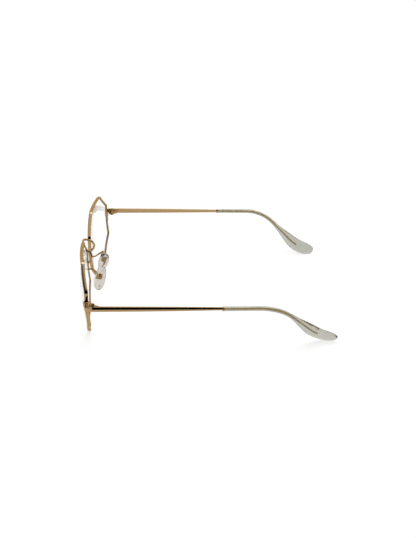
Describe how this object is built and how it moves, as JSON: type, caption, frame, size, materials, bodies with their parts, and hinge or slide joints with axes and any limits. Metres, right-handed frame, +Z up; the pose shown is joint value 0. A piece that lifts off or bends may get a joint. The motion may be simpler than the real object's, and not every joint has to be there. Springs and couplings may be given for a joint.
{
  "type": "octagonal wire eyeglasses",
  "caption": "Gold-toned wire eyeglasses with octagonal lenses, clear adjustable nose pads, folding temples and clear tips behind the ears.",
  "frame": {"origin": "centre of the bounding box at its base, on the surface on which the open glasses stand with their rims and the ends of the tips", "axes": "+X to the wearer's left, +Y from the lenses to the ears, +Z up"},
  "size_m": [0.1402, 0.1472, 0.0432],
  "materials": {
    "gold_metal": "polished, pale gold tone, plated on nickel alloy wire",
    "screws": "polished, gold tone",
    "lens": "clear, polished, no correction",
    "nose_pad": "clear silicone",
    "temple_tip": "clear grey-green acetate, polished"
  },
  "bodies": {
    "front": {"bridge": "gold_metal", "left_rim": "gold_metal", "left_lens": "lens", "left_rim_lock": "gold_metal", "left_lock_screw": "screws", "left_pad_arm": "gold_metal", "left_pad_box": "gold_metal", "left_pad_screw": "screws", "left_end_piece": "gold_metal", "left_front_hinge": "gold_metal", "left_hinge_screw": "screws", "right_rim": "gold_metal", "right_lens": "lens", "right_rim_lock": "gold_metal", "right_lock_screw": "screws", "right_pad_arm": "gold_metal", "right_pad_box": "gold_metal", "right_pad_screw": "screws", "right_end_piece": "gold_metal", "right_front_hinge": "gold_metal", "right_hinge_screw": "screws"},
    "left_temple": {"left_temple_hinge": "gold_metal", "left_temple_arm": "gold_metal", "left_tip_collar": "gold_metal", "left_temple_tip": "temple_tip"},
    "right_temple": {"right_temple_hinge": "gold_metal", "right_temple_arm": "gold_metal", "right_tip_collar": "gold_metal", "right_temple_tip": "temple_tip"},
    "left_pad": {"left_nose_pad": "nose_pad", "left_pad_plate": "gold_metal"},
    "right_pad": {"right_nose_pad": "nose_pad", "right_pad_plate": "gold_metal"}
  },
  "joints": [
    {"name": "left_temple_fold", "type": "hinge", "parent": "front", "child": "left_temple", "pos_m": [0.0671, -0.06126, 0.02508], "axis": [0, 0, 1], "range_deg": [0, 78]},
    {"name": "right_temple_fold", "type": "hinge", "parent": "front", "child": "right_temple", "pos_m": [-0.0671, -0.06126, 0.02508], "axis": [0, 0, -1], "range_deg": [0, 86.3]},
    {"name": "left_pad_rock", "type": "hinge", "parent": "front", "child": "left_pad", "pos_m": [0.01363, -0.06269, 0.01706], "axis": [0.2577, 0.955, -0.147], "range_deg": [-8, 8]},
    {"name": "right_pad_rock", "type": "hinge", "parent": "front", "child": "right_pad", "pos_m": [-0.01363, -0.06269, 0.01706], "axis": [0.2577, -0.955, 0.147], "range_deg": [-8, 8]}
  ]
}
